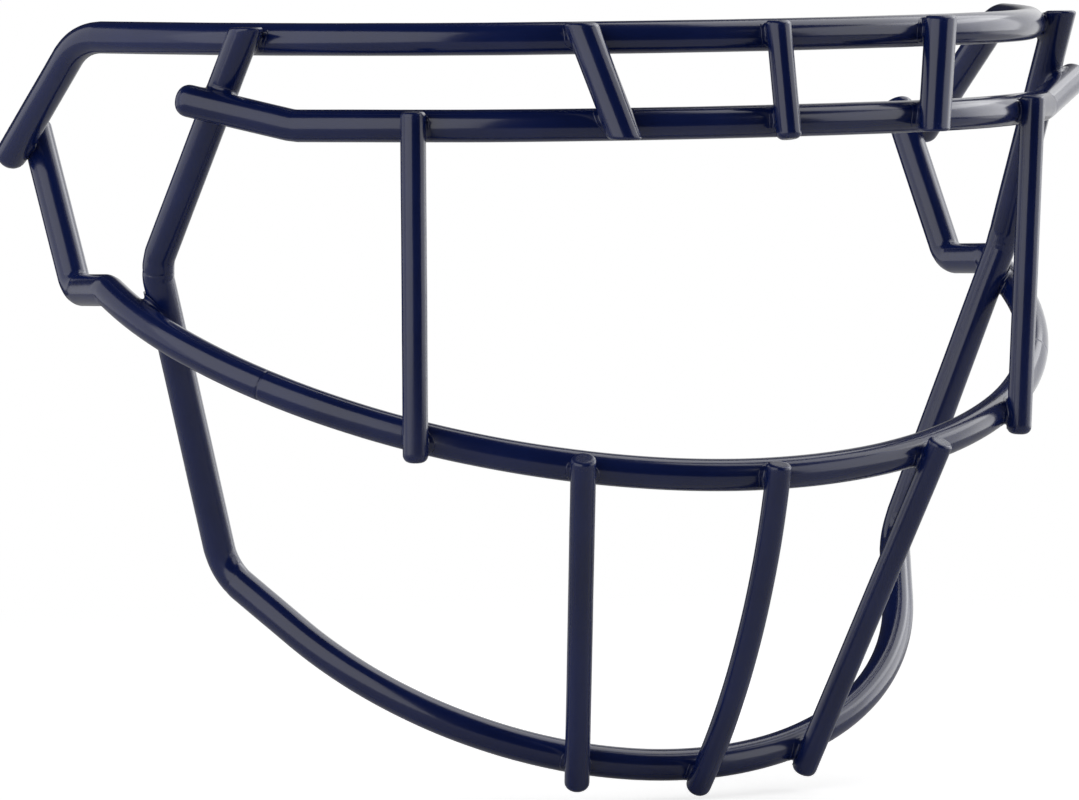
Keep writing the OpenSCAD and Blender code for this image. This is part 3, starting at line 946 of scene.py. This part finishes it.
@dataclass
class BrowBar:
    """The top bar over the forehead, whose ends drop behind the ears and end in balls."""

    front_l: float = 60.0
    front_r: float = 132.0
    temple_x: float = 91.7
    temple_back: float = 43.1
    ear_x: float = 116.0
    ear_back: float = 97.7
    run_l: float = 9.0
    drop_l: float = 46.0
    drop_angle: float = 37.5
    drop_turn: float = 1.5
    drop_r: float = 19.5

    def __post_init__(self) -> None:
        """Lays the bar's left half."""
        self.corner = vec(self.ear_x, self.ear_back, 0)
        self.arcs = bar_arcs(vec(0, 0, 0), 0, (self.front_l, self.front_r),
                             vec(self.temple_x, self.temple_back, 0), self.corner, self.run_l)
        self.tip = self.corner + self.drop_l * aimed(BACK, RIGHT, self.drop_turn, -self.drop_angle)
        self.runs = cornered(self.arcs, [self.corner, self.tip], [self.drop_r])

    def build(self, shop: Shop) -> None:
        """Adds the bar."""
        tube = CoatedTube(Centreline(self.runs, True), shop.stock.bar_d, (EndShape.BALL,) * 2, seed=0.4)
        shop.wire("brow_bar", tube)


@dataclass
class VisorBar:
    """The short bar under the brow bar, with tails that turn out past the uprights."""

    down: float = 18.3
    forward: float = 3.3
    front_l: float = 33.0
    front_r: float = 159.0
    cheek_x: float = 70.0
    cheek_back: float = 21.9
    tail_x: float = 92.9
    tail_back: float = 43.2
    run_l: float = 11.3
    tail_l: float = 26.5
    tail_rise: float = 13.0
    tail_angle: float = 41.5
    tail_r: float = 8.4

    def __post_init__(self) -> None:
        """Lays the bar's left half."""
        middle = vec(0, -self.forward, -self.down)
        self.corner = middle + vec(self.tail_x, self.tail_back, 0)
        self.arcs = bar_arcs(middle, 0, (self.front_l, self.front_r),
                             middle + vec(self.cheek_x, self.cheek_back, 0), self.corner, self.run_l)
        self.tip = self.corner + self.tail_l * aimed(RIGHT, BACK, self.tail_angle, self.tail_rise)
        self.runs = cornered(self.arcs, [self.corner, self.tip], [self.tail_r])

    def build(self, shop: Shop) -> None:
        """Adds the bar."""
        tube = CoatedTube(Centreline(self.runs, True), shop.stock.bar_d, (EndShape.BALL,) * 2, seed=1.3)
        shop.wire("visor_bar", tube)


@dataclass
class MidBar:
    """The bar across the mouth, whose ends turn up into the two side loops behind the ear drops."""

    brow: BrowBar
    stock: WireStock
    down: float = 94.1
    back: float = 2.0
    tilt: float = 22.9
    front_l: float = 69.0
    front_r: float = 116.5
    cheek_x: float = 106.3
    cheek_back: float = 66.7
    run_l: float = 4.0
    heel_r: float = 4.5
    heel_in: float = 4.5
    heel_forward: float = 3.3
    foot_l: float = 17.1
    foot_drop: float = 2.5
    foot_turn: float = 1.5
    loop_r: float = 5.5
    loop_brow_s: float = 41.2
    loop_top_l: float = 5.1
    line_share: float = 0.654
    line_width: float = 0.24
    line_depth: float = 0.16

    def on_plane(self, x: float, behind: float) -> Array:
        """A place in the bar's tilted plane, behind the bar's middle."""
        return self.middle + vec(x, behind, behind * math.tan(math.radians(self.tilt)))

    def __post_init__(self) -> None:
        """Lays the bar's left half, up to the top of its side loop."""
        brow = self.brow
        self.middle = vec(0, self.back, -self.down)
        heel = self.on_plane(brow.ear_x - self.heel_in, brow.ear_back - self.heel_forward - self.back)
        self.arcs = bar_arcs(self.middle, self.tilt, (self.front_l, self.front_r),
                             self.on_plane(self.cheek_x, self.cheek_back), heel, self.run_l)
        bend = heel + self.foot_l * aimed(BACK, RIGHT, -self.foot_turn, -self.foot_drop)
        self.loop_brow = straight_run(brow.corner, brow.tip).at(self.loop_brow_s)
        self.leg, self.leg_h = touch_inside(self.loop_brow, bend, self.stock.lift(self.stock.bar_d))
        self.top = self.leg + self.loop_top_l * self.leg_h
        self.runs = cornered(self.arcs, [heel, bend, self.top], [self.heel_r, self.loop_r])
        line_s = self.arcs[0].length + self.arcs[1].length * self.line_share
        self.line = FineLine(line_s, self.line_width, self.line_depth)

    def build(self, shop: Shop) -> None:
        """Adds the bar."""
        ends, axis = (EndShape.SQUARE,) * 2, Centreline(self.runs, True)
        shop.wire("mid_bar", CoatedTube(axis, shop.stock.bar_d, ends, (self.line,), seed=2.2))

    def loop_weld(self) -> Crossing:
        """The weld of the side loop on the ear drop."""
        bar = self.loop_brow
        return Crossing(bar.start, bar.heading, self.leg, self.leg_h, self.stock.bar_d)


@dataclass
class JawBar:
    """The bar under the chin, which turns up at its corners into the two uprights."""

    brow: BrowBar
    visor: VisorBar
    mid: MidBar
    stock: WireStock
    down: float = 159.7
    back: float = 35.2
    tilt: float = 36.3
    chin_l: float = 96.0
    chin_r: float = 82.5
    run_l: float = 23.3
    corner_r: float = 9.6
    crease_down: float = 52.0
    knee_down: float = 47.7
    crease_r: float = 4.0
    knee_r: float = 8.3
    brow_x: float = 96.6
    visor_s: float = 18.5
    top_l: float = 5.0
    mid_s: float = 14.5
    # Fine lines: whole runs before each, distance past them, width and depth.
    lines: tuple[tuple[int, float, float, float], ...] = ((2, 1.5, 0.4, 0.03), (4, 2.2, 0.3, 0.08))

    def __post_init__(self) -> None:
        """Lays the bar's left half, up to the top of its upright."""
        stock, out, d = self.stock, unit(RIGHT + FORWARD), self.stock.bar_d
        self.arcs = [front_run(vec(0, self.back, -self.down), self.tilt, self.chin_l, self.chin_r)]
        end = self.arcs[0].end()
        corner = end.start + self.run_l * end.heading
        on_brow = place_at_x(self.brow.arcs, self.brow_x)
        on_visor = straight_run(self.visor.corner, self.visor.tip).at(self.visor_s)
        side = self.mid.arcs[-1]
        self.on_mid = side.at(side.length + self.mid.run_l - self.mid_s)
        lifts = (stock.lift(d, stock.upright_set), stock.lift(d, stock.visor_set))
        self.upper = lap_over((on_brow, on_visor), lifts, (out, -out), d)
        upper_place, upper_h = self.upper.places[0], unit(self.upper.places[1] - self.upper.places[0])
        top = upper_place - self.top_l * upper_h
        knee = upper_place + (-self.knee_down - upper_place[2]) / upper_h[2] * upper_h
        self.lower_touch, self.lower_h = touch_inside(self.on_mid, corner, stock.lift(d))
        crease = corner + (-self.crease_down - corner[2]) / self.lower_h[2] * self.lower_h
        radii = [self.corner_r, self.crease_r, self.knee_r]
        self.runs = cornered(self.arcs, [corner, crease, knee, top], radii)

    def build(self, shop: Shop) -> None:
        """Adds the bar with its uprights.

        Args:
            shop: Where it is made.
        """
        ends, axis = (EndShape.LEVEL,) * 2, Centreline(self.runs, True)
        lines = tuple(FineLine(sum(r.length for r in self.runs[:before]) + past, width, depth)
                      for before, past, width, depth in self.lines)
        shop.wire("jaw_bar", CoatedTube(axis, shop.stock.bar_d, ends, lines, seed=3.1))

    def mid_weld(self) -> Crossing:
        """The weld of the upright on the mid bar."""
        bar = self.on_mid
        return Crossing(bar.start, bar.heading, self.lower_touch, self.lower_h, self.stock.bar_d)


@dataclass
class Braces:
    """The three short wires that tie the visor bar to the brow bar."""

    brow: BrowBar
    visor: VisorBar
    stock: WireStock
    brow_x: float = 41.7
    visor_x: float = 37.3
    top_l: float = 2.2
    foot_l: float = 4.8
    ends: Ends = (EndShape.LEVEL, EndShape.LEVEL)
    center_ends: Ends = (EndShape.LEVEL, EndShape.SQUARE)

    def __post_init__(self) -> None:
        """Lays the outer brace of the left side and the middle one."""
        s, out = self.stock, (FORWARD, FORWARD)
        bars = (place_at_x(self.brow.arcs, self.brow_x), place_at_x(self.visor.arcs, self.visor_x))
        self.outer = lap_over(bars, (s.lift(s.bar_d),) * 2, out, s.bar_d)
        bars = (self.brow.arcs[0], self.visor.arcs[0])
        self.center = lap_over(bars, (s.lift(s.thin_d),) * 2, out, s.thin_d)
        self.past = (self.top_l, self.foot_l)

    def build(self, shop: Shop) -> None:
        """Adds the three braces."""
        shop.pair("brace", self.outer, self.past, self.ends, 4.0)
        shop.wire("brace_center", lapped_tube(self.center, self.past, self.center_ends, 6.1))


@dataclass
class CheekWires:
    """The two long thin wires beside the mouth, from the visor bar to the mid bar."""

    visor: VisorBar
    mid: MidBar
    stock: WireStock
    visor_x: float = 72.6
    mid_x: float = 71.4
    top_l: float = 3.5
    foot_l: float = 4.8
    ends: Ends = (EndShape.LEVEL, EndShape.ROUND)

    def __post_init__(self) -> None:
        """Lays the wire of the left side."""
        s, out = self.stock, unit(RIGHT + FORWARD)
        bars = (place_at_x(self.visor.arcs, self.visor_x), place_at_x(self.mid.arcs, self.mid_x))
        self.lap = lap_over(bars, (s.lift(s.thin_d),) * 2, (out, out), s.thin_d)

    def build(self, shop: Shop) -> None:
        """Adds both wires."""
        shop.pair("cheek_wire", self.lap, (self.top_l, self.foot_l), self.ends, 7.0)


@dataclass
class ChinWires:
    """The three thin wires over the chin, from the mid bar to the jaw bar, with the middle one bowed."""

    mid: MidBar
    jaw: JawBar
    stock: WireStock
    mid_x: float = 41.0
    jaw_x: float = 27.1
    top_l: float = 5.4
    foot_l: float = 4.4
    middle_top_l: float = 4.0
    middle_foot_l: float = 3.0
    tip_l: float = 2.0
    bow: float = 4.2
    ends: Ends = (EndShape.CRISP, EndShape.ROUND)

    def __post_init__(self) -> None:
        """Lays the outer wire of the left side and the bowed one.

        A bow b over a span s has the radius r = (s^2 / 4 + b^2) / 2b, and leaves its chord by asin(s / 2r).
        """
        s, lifts, out = self.stock, (self.stock.lift(self.stock.thin_d),) * 2, (FORWARD, FORWARD)
        bars = (place_at_x(self.mid.arcs, self.mid_x), place_at_x(self.jaw.arcs, self.jaw_x))
        self.outer = lap_over(bars, lifts, out, s.thin_d)
        bars = (self.mid.arcs[0], self.jaw.arcs[0])
        span = float(np.linalg.norm(bars[1].start - bars[0].start))
        radius = (span * span / 4 + self.bow * self.bow) / 2 / self.bow
        angle = math.asin(span / 2 / radius)
        self.middle = lap_over(bars, lifts, out, s.thin_d, angle)
        chord = self.middle.places[1] - self.middle.places[0]
        u = unit(chord)
        h = math.cos(angle) * u + math.sin(angle) * np.cross(u, RIGHT)
        length = float(np.linalg.norm(chord)) / math.sin(angle) * angle + self.middle_foot_l - self.tip_l
        arc = Run(self.middle.places[0], h, np.cross(RIGHT, h), length, radius)
        arc = arc.at(self.tip_l - self.middle_top_l)
        end = arc.end()
        self.foot, self.foot_h = end.start + self.tip_l * end.heading, end.heading
        self.middle_axis = Centreline([straight_run(arc.start - self.tip_l * arc.heading, arc.start), arc,
                                       straight_run(end.start, self.foot)])

    def build(self, shop: Shop) -> None:
        """Adds the three wires."""
        shop.pair("chin_wire", self.outer, (self.top_l, self.foot_l), self.ends, 9.0)
        shop.wire("chin_wire_center", CoatedTube(self.middle_axis, self.stock.thin_d, self.ends, seed=11.0,
                                                 around=THIN_AROUND))


@dataclass
class Welds:
    """All the welds of the guard, in the groups that the CAD nodes have."""

    mid: MidBar
    jaw: JawBar
    braces: Braces
    cheeks: CheekWires
    chins: ChinWires
    stock: WireStock
    bar_fillet: float = 1.35
    visor_fillet: float = 1.5
    thin_fillet: float = 1.1

    def fillet(self, crossing: Crossing, size: float, seed: float) -> WeldFillet:
        """One fillet of a given size."""
        return WeldFillet(crossing, self.stock.bar_d, size, seed)

    def build(self, shop: Shop) -> None:
        """Adds the weld groups.

        Args:
            shop: Where they are made.
        """
        bar, thin, fillet, level = self.bar_fillet, self.thin_fillet, self.fillet, EndShape.LEVEL
        upper, braces, cheeks, chins = self.jaw.upper, self.braces, self.cheeks, self.chins
        for name, crossing, size, seed in (
                ("brow_upright", upper.crossing(0, self.jaw.top_l, level), bar, 0.5),
                ("visor_upright", upper.crossing(1), self.visor_fillet, 1.6),
                ("mid_upright", self.jaw.mid_weld(), bar, 2.4),
                ("brow_loop", self.mid.loop_weld(), bar, 3.3)):
            shop.welds(name + "_welds", [fillet(crossing, size, seed)], [])
        for i, name, past in ((0, "brow_brace", braces.top_l), (1, "visor_brace", braces.foot_l)):
            shop.welds(name + "_welds", [fillet(braces.outer.crossing(i, past, level), bar, 4.2 + i)],
                       [fillet(braces.center.crossing(i, past, level), thin, 5.1 + i)])
        for i, name, past in ((0, "visor_cheek", cheeks.top_l), (1, "mid_cheek", cheeks.foot_l)):
            crossing = cheeks.lap.crossing(i, past, cheeks.ends[i])
            shop.welds(name + "_welds", [fillet(crossing, thin, 6.3 + i)], [])
        for i, name, past, middle in ((0, "mid_chin", chins.top_l, chins.middle_top_l),
                                      (1, "jaw_chin", chins.foot_l, chins.middle_foot_l)):
            shop.welds(name + "_welds", [fillet(chins.outer.crossing(i, past), thin, 7.7 + i)],
                       [fillet(chins.middle.crossing(i, middle), thin, 8.9 + i)])


@dataclass
class FaceGuard:
    """The whole welded cage."""

    stock: WireStock = field(default_factory=WireStock)

    def __post_init__(self) -> None:
        """Lays every wire, from the bars to the wires that lie on them."""
        self.brow = BrowBar()
        self.visor = VisorBar()
        self.mid = MidBar(self.brow, self.stock)
        self.jaw = JawBar(self.brow, self.visor, self.mid, self.stock)
        self.braces = Braces(self.brow, self.visor, self.stock)
        self.cheeks = CheekWires(self.visor, self.mid, self.stock)
        self.chins = ChinWires(self.mid, self.jaw, self.stock)
        self.welds = Welds(self.mid, self.jaw, self.braces, self.cheeks, self.chins, self.stock)

    def row_shift(self) -> Array:
        """Way from the brow bar's middle to the row frame, which stands the guard on its lowest wire end.

        A round end of diameter d and heading h reaches d/2 sqrt(1 - h_axis^2) past its middle along an axis.

        Returns:
            The way in millimetres.
        """
        def reach(h: Array, axis: int, d: float) -> float:
            """How far a round end spreads along an axis."""
            return d / 2 * math.sqrt(1 - h[axis] ** 2)

        center = self.braces.center
        h = unit(center.places[1] - center.places[0])
        front = (center.places[1] + self.braces.foot_l * h)[1] - reach(h, 1, self.stock.thin_d)
        rear = self.mid.top[1] + reach(self.mid.leg_h, 1, self.stock.bar_d)
        lowest = self.chins.foot[2] - reach(self.chins.foot_h, 2, self.stock.thin_d)
        return vec(0, -(front + rear) / 2, -lowest)

    def build(self, finish: bpy.types.Material) -> None:
        """Adds every piece of the guard.

        Args:
            finish: The coating of every wire and weld.
        """
        shop = Shop(self.stock, finish, self.row_shift())
        for part in (self.brow, self.visor, self.mid, self.jaw, self.braces, self.cheeks, self.chins,
                     self.welds):
            part.build(shop)


@dataclass(frozen=True)
class PhotoCamera:
    """The photograph's viewing angle, found from the guard's two mirrored halves."""

    azimuth: float = -27.9218
    elevation: float = 3.8675
    roll: float = -0.4919
    focal_pixels: float = 8439.9
    image_width: float = 1079.0
    sensor_width: float = 36.0
    clip: tuple[float, float] = (0.05, 60.0)
    distance: float = 1859.6
    aside: float = 19.8115
    above: float = 21.53
    look_at: tuple[float, float, float] = (0.0, 62.07, -60.0)

    def level_axes(self) -> tuple[Array, Array]:
        """Level directions from the guard to the camera and to the camera's right."""
        a = math.radians(self.azimuth)
        return vec(math.sin(a), -math.cos(a), 0), vec(math.cos(a), math.sin(a), 0)

    def build(self, shift: Array) -> None:
        """Adds the camera.

        Args:
            shift: Way from the brow bar's middle to the row frame, in millimetres.
        """
        e, c = math.radians(self.elevation), math.radians(self.roll)
        toward, right = self.level_axes()
        back = math.cos(e) * toward + math.sin(e) * UP
        up = np.cross(back, right)
        x, y = math.cos(c) * right + math.sin(c) * up, math.cos(c) * up - math.sin(c) * right
        place = vec(*self.look_at) + shift - self.aside * x - self.above * y + self.distance * back
        data = bpy.data.cameras.new("photo_camera")
        data.sensor_width = self.sensor_width
        data.lens = self.sensor_width * self.focal_pixels / self.image_width
        data.clip_start, data.clip_end = self.clip
        camera = bpy.data.objects.new("photo_camera", data)
        turn = Matrix([x, y, back]).transposed().to_4x4()
        camera.matrix_world = Matrix.Translation(Vector(place * METRE)) @ turn
        bpy.context.scene.collection.objects.link(camera)
        bpy.context.scene.camera = camera


@dataclass(frozen=True)
class SoftPanel:
    """A soft box round the guard, placed in degrees from the camera's line, to the right and up."""

    name: str
    azimuth: float
    elevation: float
    distance: float
    width: float
    height: float
    level: float

    def build(self, toward: Array, right: Array, middle: Array) -> None:
        """Adds the lamp. Its power is its level times pi times its area.

        Args:
            toward: Level direction to the camera.
            right: Level direction to the camera's right.
            middle: Middle of the guard in metres.
        """
        way = aimed(toward, right, self.azimuth, self.elevation)
        data = bpy.data.lights.new(self.name, "AREA")
        data.shape, data.size, data.size_y = "RECTANGLE", self.width, self.height
        data.energy = self.level * math.pi * self.width * self.height
        lamp = bpy.data.objects.new(self.name, data)
        lamp.location = Vector(middle + self.distance * way)
        lamp.rotation_mode = "QUATERNION"
        lamp.rotation_quaternion = Vector(-way).to_track_quat("-Z", "Y")
        lamp.visible_camera = False
        bpy.context.scene.collection.objects.link(lamp)


@dataclass
class Studio:
    """Plain pale floor, white background and soft panels."""

    camera: PhotoCamera
    panels: tuple[SoftPanel, ...] = (
        SoftPanel("left_front_panel", -45.0, 7.0, 2.0, 2.6, 4.3, 1.15),
        SoftPanel("left_rear_panel", -105.0, 0.0, 2.0, 2.0, 3.4, 0.7),
        SoftPanel("right_panel", 99.0, 15.0, 2.0, 2.9, 1.8, 1.25),
        SoftPanel("right_upper_panel", 126.0, 49.0, 2.0, 1.7, 1.7, 1.6),
    )
    panels_middle: float = 0.09
    floor_size: float = 1.0
    floor_cells: int = 40
    room_grey: float = 0.03
    backdrop_azimuth: float = 143.0
    backdrop_rise: float = 0.12
    backdrop_edge: tuple[float, float] = (0.76, 0.88)

    def build(self) -> None:
        """Adds the floor, the lamps and the world."""
        toward, right = self.camera.level_axes()
        for panel in self.panels:
            panel.build(toward, right, self.panels_middle * UP)
        self.build_floor()
        self.build_world(toward, right)
        bpy.context.scene.view_settings.view_transform = "Standard"

    def build_floor(self) -> None:
        """Adds the floor as a fine grid: x and y run over its square, and z is 0."""
        corners = self.floor_cells + 1
        line = np.linspace(-self.floor_size / 2, self.floor_size / 2, corners)
        y, x = np.meshgrid(line, line, indexing="ij")
        points = np.stack([x, y, np.zeros_like(x)], -1).reshape(-1, 3)
        mesh = bpy.data.meshes.new("studio_floor")
        mesh.from_pydata(points.tolist(), [], grid_faces(corners, corners, False, False))
        mesh.materials.append(FloorFinish().make())
        floor = bpy.data.objects.new("studio_floor", mesh)
        bpy.context.scene.collection.objects.link(floor)

    def build_world(self, toward: Array, right: Array) -> None:
        """Makes the world: white where it is seen, and a dim room with a white backdrop in reflections.

        The backdrop lies behind the guard on the camera's right, so a mirrored ray sees it where the
        direction of the ray lies close to the backdrop's own.

        Args:
            toward: Level direction to the camera.
            right: Level direction to the camera's right.
        """
        world = bpy.data.worlds.new("white_studio")
        board = NodeBoard(world)
        way = board.add("TexCoord").outputs["Generated"]
        backdrop = aimed(toward, right, self.backdrop_azimuth, 0.0) + self.backdrop_rise * UP
        near = board.add("VectorMath", {"operation": "DOT_PRODUCT"}, {0: way, 1: tuple(unit(backdrop))})
        mask = board.span(near.outputs["Value"], *self.backdrop_edge, smooth=True)
        rays = board.add("LightPath").outputs
        mirrored_white = board.math("MULTIPLY", rays["Is Glossy Ray"], mask)
        seen = board.math("MAXIMUM", rays["Is Camera Ray"], rays["Is Transmission Ray"])
        white = board.math("MAXIMUM", seen, mirrored_white)
        grey = (self.room_grey, self.room_grey, self.room_grey, 1)
        room = board.add("Background", inputs={"Color": grey, "Strength": 1.0})
        paper = board.add("Background", inputs={"Color": (1, 1, 1, 1), "Strength": 1.0})
        mix = board.add("MixShader", inputs={0: white, 1: room.outputs[0], 2: paper.outputs[0]})
        board.add("OutputWorld", inputs={"Surface": mix.outputs[0]})
        bpy.context.scene.world = world


def main() -> None:
    """Builds the guard, its camera and its studio, in order."""
    logging.basicConfig(level=logging.INFO, format="%(message)s")
    guard, camera = FaceGuard(), PhotoCamera()
    camera.build(guard.row_shift())
    guard.build(CoatedWireFinish().make())
    Studio(camera).build()


if __name__ == "__main__":
    main()
